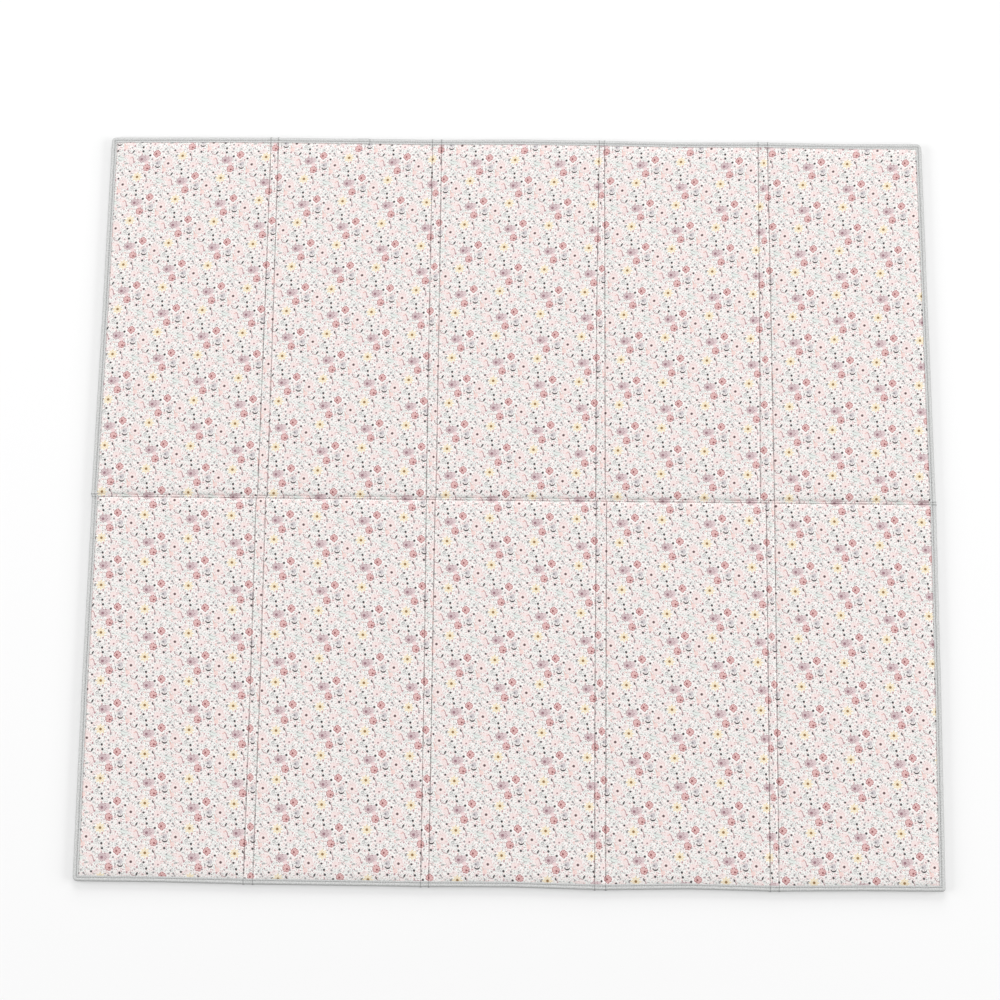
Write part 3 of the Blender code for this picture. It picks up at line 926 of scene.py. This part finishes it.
def edge_stations():
    """All places round the edge: side, along, spread, lump and painted shade, one row each.

    A point that is some way inward lies at along + spread * inward. The spread is 1 on the mitre
    of a corner and fades to 0, so the places fan out round it.
    """
    rows = []
    for side in range(len(SIDES)):
        along, lump, tape_shade, length = side_places(side)
        fan = SHOULDER_END * (1 - FAN[:-1])
        # The first place of each side, on the mitre, gets painted shade.
        start = [(side, place, turn, 0, float(turn == 1)) for place, turn in zip(fan, FAN)]
        end = [(side, length - place, -turn, 0, 0) for place, turn in zip(fan[:0:-1], FAN[-2:0:-1])]
        middle = [(side, *row) for row in zip(along, np.zeros(len(along)), lump, tape_shade)]
        rows += start + middle + end
    return np.array(rows)


stations = edge_stations()
print(len(stations), "places round the edge")

# %% Carry the profile round the edge
def on_side(side, along, spread, inward):
    """The even mat's place of a point: corner + way * (along + spread * inward) + in * inward."""
    corners, ways, ins = [np.array(part, float)[side.astype(int)] for part in zip(*SIDES)]
    run = (along + spread * inward)[:, None]
    place = corners * (LENGTH / 2, WIDTH / 2) + ways * run + ins * inward[:, None]
    return place[:, 0], place[:, 1]


TAPE_ROWS = 8
RIM_SHADE = 0.6
RIM_SHADE_REACH = 1.5 * MM
SEWN_SHADE = 0.42
SEWN_SHADE_REACH = 1.3 * MM


def edge_binding(material):
    """The closed ring: one loop of the inner and the outer line at each place round the edge."""
    side, along, spread, lump, tape_shade = stations.T
    count = len(stations)
    inner = section + CLOTH_GAP * section_out
    inner[[0, -1], 0] = TAPE_WIDTH
    rise = (CLOTH_GAP + TAPE_THICK + puff)[None, :] + lump[:, None] * np.ones(len(section))
    outer = section[None] + rise[..., None] * section_out[None]
    outer[:, [0, -1], 0] = TAPE_WIDTH
    outer[..., 1] = np.maximum(outer[..., 1], 0)
    loops = np.concatenate([np.broadcast_to(inner, (count, *inner.shape)), outer[:, ::-1]], axis=1)
    size = loops.shape[1]
    each = np.repeat(np.arange(count), size)
    flat = loops.reshape(-1, 2)
    x, y = on_side(side[each], along[each], spread[each], flat[:, 0])
    laid = settle(*round_corners(x, y))
    index = np.arange(count * size).reshape(count, size)
    ahead = np.roll(index, -1, axis=0)
    faces = np.stack([index, ahead, np.roll(ahead, -1, axis=1), np.roll(index, -1, axis=1)], axis=-1)
    faces = faces.reshape(-1, 4)
    station, point = [part.ravel() for part in np.meshgrid(np.arange(count), np.arange(size), indexing="ij")]
    step_along = np.array([0, 1, 1, 0])
    step_round = np.array([0, 0, 1, 1])
    row = station * TAPE_ROWS // count
    bake_u = (station[:, None] + step_along) * TAPE_ROWS / count - row[:, None]
    bake_v = (row[:, None] + 0.04 + 0.92 * (point[:, None] + step_round) / size) / TAPE_ROWS
    bake = np.column_stack([np.clip(bake_u, 0, 1).ravel(), bake_v.ravel()])
    run = np.cumsum(np.r_[0, np.maximum(np.abs(np.diff(along)), 0)])
    thread_u = np.r_[run, run[-1] + TAPE_STEP][station[:, None] + step_along]
    girth = np.cumsum(np.r_[0, np.linalg.norm(np.diff(loops[0], axis=0), axis=1), TAPE_THICK])
    thread_v = girth[point[:, None] + step_round]
    thread = np.column_stack([thread_u.ravel(), thread_v.ravel()])
    piece = add_piece("edge_tape", np.column_stack([*laid, flat[:, 1]]), faces, [material],
                      [("OFBake", bake), ("tape", thread)])
    shade_layer = piece.data.attributes.new("tape_shade", "FLOAT", "POINT")
    # Painted shade in the tape's colour: the rim, the stitched line, and the places' shade at the seams'
    # ends, the join and the mitres.
    rim = RIM_SHADE * np.exp(-(np.maximum(flat[:, 0] - EDGE_INSET, 0) / RIM_SHADE_REACH) ** 2)
    sewn = SEWN_SHADE * np.exp(-((flat[:, 0] - STITCH_INWARD) / SEWN_SHADE_REACH) ** 2)
    shade = np.clip(tape_shade[each], 0, 1) + rim + sewn
    shade_layer.data.foreach_set("value", np.clip(shade, 0, 1).astype(np.float32))
    return piece


# %% [markdown]
# ## Grey tape
# Binding tape is a narrow twill: its threads climb in fine slanting lines. The light catches the
# flat of it, and shade is painted into its colour on the folds, the stitched line and the mitres at the
# corners.

# %% The tape's material
TWILL = 1.3


def grey_tape():
    """Slanting twill lines, a soft mottle, and painted shade on the rim, the stitched line, the seams' ends
    and the mitres.
    """
    nodes = Nodes("grey_tape", 0.8)
    uv = nodes.add("ShaderNodeUVMap", {}, {"uv_map": "tape"}).outputs["UV"]
    flat = nodes.vector("SCALE", uv)
    flat.node.inputs["Scale"].default_value = 1 / MM
    slant = nodes.vector("DOT_PRODUCT", flat, (2 * np.pi / TWILL, 2 * np.pi / TWILL, 0))
    twill = nodes.math("SINE", slant)
    mottle = nodes.noise(flat, 0.33, 3.0)
    colour = nodes.mix(nodes.ease(mottle, 0.35, 0.65), ink(196, 197, 196), ink(228, 229, 228))
    colour = nodes.mix(nodes.ease(twill, -1.0, 1.0), nodes.mix(0.25, colour, ink(170, 171, 171)), colour)
    # Painted shade from the attribute: on the rim, along the stitched line, at the seams' ends, at the join
    # and on the mitres.
    tape_shade = nodes.add("ShaderNodeAttribute", {}, {"attribute_name": "tape_shade"}).outputs["Fac"]
    colour = nodes.mix(nodes.math("MULTIPLY", tape_shade, 0.7), colour, ink(84, 84, 84))
    nodes.give(nodes.shader.inputs["Base Color"], colour)
    height = nodes.math("MULTIPLY_ADD", twill, 0.06, nodes.math("MULTIPLY", mottle, 0.25))
    bump = nodes.add("ShaderNodeBump", {"Height": height, "Strength": 0.6, "Distance": 1 * MM})
    nodes.give(nodes.shader.inputs["Normal"], bump.outputs["Normal"])
    nodes.shader.inputs["Sheen Weight"].default_value = 0.1
    return nodes.material


tape = edge_binding(grey_tape())
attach(tape, "root")
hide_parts("edge_binding")

# %% [markdown]
# ## The stitches
# A machine stitch is a short, fat piece of thread that dives into the cloth at both ends. There
# are thousands, so each is one small spindle of 24 triangles, and all of a seam's stitches are one
# mesh worked out at once: middle + along * way + across * side + up.

# %% Sew along lines
SPINDLE_AT = (-0.3, 0.3)
SPINDLE_SIDES = 6


def spindle():
    """A unit stitch: two six-sided rings and a point at each end, along the first axis."""
    angle = np.arange(SPINDLE_SIDES) * 2 * np.pi / SPINDLE_SIDES
    ring = np.column_stack([np.zeros(SPINDLE_SIDES), np.cos(angle), np.sin(angle)])
    points = np.concatenate([ring + (SPINDLE_AT[0], 0, 0), ring + (SPINDLE_AT[1], 0, 0)])
    points = np.concatenate([points, [(-0.5, 0, -0.6), (0.5, 0, -0.6)]])
    a = np.arange(SPINDLE_SIDES)
    b = np.roll(a, -1)
    first, second = 2 * SPINDLE_SIDES, 2 * SPINDLE_SIDES + 1
    walls = np.concatenate([np.column_stack([a, b, b + SPINDLE_SIDES]),
                            np.column_stack([a, b + SPINDLE_SIDES, a + SPINDLE_SIDES])])
    caps = np.concatenate([np.column_stack([np.full(SPINDLE_SIDES, first), b, a]),
                           np.column_stack([np.full(SPINDLE_SIDES, second), a + SPINDLE_SIDES,
                                            b + SPINDLE_SIDES])])
    return points, np.concatenate([walls, caps])[:, ::-1]


def resample(line, pitch):
    """Middles at even steps along a line of points, and the way at each."""
    reach = np.r_[0, np.cumsum(np.linalg.norm(np.diff(line, axis=0), axis=1))]
    at = np.arange(pitch / 2, reach[-1], pitch)
    middle = np.column_stack([np.interp(at, reach, line[:, axis]) for axis in range(3)])
    ahead = np.column_stack([np.interp(at + pitch / 4, reach, line[:, axis]) for axis in range(3)])
    back = np.column_stack([np.interp(at - pitch / 4, reach, line[:, axis]) for axis in range(3)])
    way = ahead - back
    return middle, way / np.linalg.norm(way, axis=1)[:, None]


def sew(name, lines, pitch, length, thickness, material):
    """One mesh of stitches along several lines."""
    sampled = [resample(line, pitch) for line in lines]
    middle = np.concatenate([part[0] for part in sampled])
    way = np.concatenate([part[1] for part in sampled])
    side = np.cross(way, (0, 0, 1))
    side /= np.linalg.norm(side, axis=1)[:, None]
    up = np.cross(side, way)
    points, faces = spindle()
    placed = middle[:, None] + length * points[None, :, :1] * way[:, None]
    across = points[None, :, 1:2] * side[:, None] + points[None, :, 2:] * up[:, None]
    placed = placed + thickness / 2 * across
    all_faces = faces[None] + len(points) * np.arange(len(middle))[:, None, None]
    return add_piece(name, placed.reshape(-1, 3), all_faces.reshape(-1, 3), [material])


def thread_cloth(name, colour):
    """Twisted thread: a fine noise on Object coordinates between a darker and a lighter tone."""
    nodes = Nodes(name, 0.6)
    place = nodes.add("ShaderNodeTexCoord", {}).outputs["Object"]
    twist = nodes.noise(place, 900, 1.0)
    dark = tuple(0.7 * part for part in colour[:3]) + (1.0,)
    nodes.give(nodes.shader.inputs["Base Color"], nodes.mix(nodes.ease(twist, 0.35, 0.65), dark, colour))
    bump = nodes.add("ShaderNodeBump", {"Height": twist, "Strength": 0.5, "Distance": 0.2 * MM})
    nodes.give(nodes.shader.inputs["Normal"], bump.outputs["Normal"])
    return nodes.material


# %% The seams' stitches
SEAM_PITCH = 5 * MM
SEAM_STITCH = 3.4 * MM
SEAM_THREAD = 0.9 * MM
SEAM_CLEAR = 13 * MM
ON_CLOTH = 0.1 * MM


def on_top(x, y, lift):
    """Points on the laid padding's top over even places."""
    laid_x, laid_y = settle(x, y)
    return np.column_stack([laid_x, laid_y, heights(x, y)[0] + lift])


seam_thread = thread_cloth("seam_thread", ink(120, 110, 112))
down = np.linspace(SEAM_CLEAR - WIDTH / 2, WIDTH / 2 - SEAM_CLEAR, 700)
over = np.linspace(SEAM_CLEAR - LENGTH / 2, LENGTH / 2 - SEAM_CLEAR, 800)
fold_lines = [on_top(np.full_like(down, crease), down, ON_CLOTH) for crease in np.ravel(FOLDS)]
cross_lines = [on_top(over, np.full_like(over, crease), ON_CLOTH) for crease in np.ravel(CROSS)]
fold_stitches = sew("fold_stitches", fold_lines, SEAM_PITCH, SEAM_STITCH, SEAM_THREAD, seam_thread)
cross_stitches = sew("cross_stitches", cross_lines, SEAM_PITCH, SEAM_STITCH, SEAM_THREAD, seam_thread)

# %% The tape's stitches, along it and across it at the seams' ends
TAPE_PITCH = 6 * MM
TAPE_STITCH = 4.2 * MM
TAPE_THREAD = 0.8 * MM


def on_tape(side, along, spread, inward, lump):
    """Points on the tape's upper face."""
    x, y = on_side(side, along, spread, inward)
    laid = settle(*round_corners(x, y))
    order = np.argsort(section[is_over, 0])
    surface = np.interp(inward, section[is_over, 0][order], (section[:, 1] + puff)[is_over][order])
    return np.column_stack([*laid, surface + CLOTH_GAP + TAPE_THICK + lump])


side, along, spread, lump, tape_shade = np.concatenate([stations, stations[:1]]).T
round_line = on_tape(side, along, spread, np.full(len(side), STITCH_INWARD), lump)
across_lines = []
inward_run = np.linspace(2.5, 10.5, 9) * MM
for side_number in range(len(SIDES)):
    way = SIDES[side_number][1]
    axis = 0 if way[0] else 1
    for crease in np.ravel(CROSS if axis else FOLDS):
        along_side = crease * way[axis] + (LENGTH, WIDTH)[axis] / 2
        same = np.ones(len(inward_run))
        across_lines.append(on_tape(same * side_number, same * along_side, 0 * same, inward_run, KNOB * same))
tape_thread = thread_cloth("tape_thread", ink(132, 132, 131))
tape_stitches = sew("tape_stitches", [round_line], TAPE_PITCH, TAPE_STITCH, TAPE_THREAD, tape_thread)
end_stitches = sew("end_stitches", across_lines, 2.8 * MM, 2.2 * MM, TAPE_THREAD, tape_thread)
for piece in (fold_stitches, cross_stitches):
    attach(piece, "root")
for piece in (tape_stitches, end_stitches):
    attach(piece, "root")

# %% [markdown]
# ## Floor, light and camera
# The photograph is a studio one from above: a white floor, broad soft light, and a little more of
# it from behind, which leaves a soft shadow in front of the front edge.

# %% The floor
FLOOR_HALF = 6.0
FLOOR_DROP = 0.2 * MM


def studio_floor():
    """A plain pale sheet under everything, just below the mat's underside."""
    mesh = bpy.data.meshes.new("floor")
    corners = [(-1, -1), (1, -1), (1, 1), (-1, 1)]
    mesh.from_pydata([(FLOOR_HALF * x, FLOOR_HALF * y, -FLOOR_DROP) for x, y in corners], [], [(0, 1, 2, 3)])
    nodes = Nodes("floor_white", 0.9)
    nodes.shader.inputs["Base Color"].default_value = (0.87, 0.87, 0.87, 1)
    nodes.shader.inputs["Specular IOR Level"].default_value = 0
    mesh.materials.append(nodes.material)
    floor = bpy.data.objects.new("floor", mesh)
    bpy.context.collection.objects.link(floor)
    return floor


studio_floor()

# %% The lights
def add_light(name, place, aim, size_x, size_y, watts):
    """A rectangular soft light that faces a point."""
    lamp = bpy.data.lights.new(name, "AREA")
    lamp.shape = "RECTANGLE"
    lamp.size, lamp.size_y, lamp.energy = size_x, size_y, watts
    item = bpy.data.objects.new(name, lamp)
    item.location = place
    item.rotation_euler = (Vector(aim) - Vector(place)).to_track_quat("-Z", "Y").to_euler()
    bpy.context.collection.objects.link(item)
    return item


world = bpy.data.worlds.new("studio")
world.use_nodes = True
world.node_tree.nodes["Background"].inputs["Color"].default_value = (1, 1, 1, 1)
world.node_tree.nodes["Background"].inputs["Strength"].default_value = 0.4
bpy.context.scene.world = world
add_light("top_light", (0, -2.0, 8.0), (0, 0, 0), 6, 6, 145)
add_light("back_light", (0, 10.3, 3.4), (0, 0, 0), 9, 4.0, 800)
add_light("left_light", (-10.3, 0, 3.0), (0, 0, 0), 9, 3.4, 800)
add_light("right_light", (10.3, 0, 3.0), (0, 0, 0), 9, 3.4, 880)
bpy.context.scene.view_settings.view_transform = "Standard"

# %% The camera
TARGET = (-0.0286, -0.0014, 4.6 * MM)
DISTANCE = 4.0603
TILT = 9.952
ROLL = -2.371
YAW = 2.994
FOCAL_PIXELS = 1704.5
FRAME_PIXELS = 1000
SENSOR = 36.0

lens = bpy.data.cameras.new("camera")
lens.sensor_width = SENSOR
lens.lens = FOCAL_PIXELS * SENSOR / FRAME_PIXELS
camera = bpy.data.objects.new("camera", lens)
turn = Matrix.Rotation(np.radians(YAW), 3, "Z") @ Matrix.Rotation(np.radians(TILT), 3, "X")
turn = turn @ Matrix.Rotation(np.radians(ROLL), 3, "Z")
aim = Vector(TARGET) + Vector((SHIFT[0], SHIFT[1], 0))
camera.rotation_euler = turn.to_euler()
camera.location = aim + turn @ Vector((0, 0, DISTANCE))
bpy.context.collection.objects.link(camera)
bpy.context.scene.camera = camera
print("camera at", np.round(np.array(camera.location), 3), "with a lens of", round(lens.lens, 2), "mm")
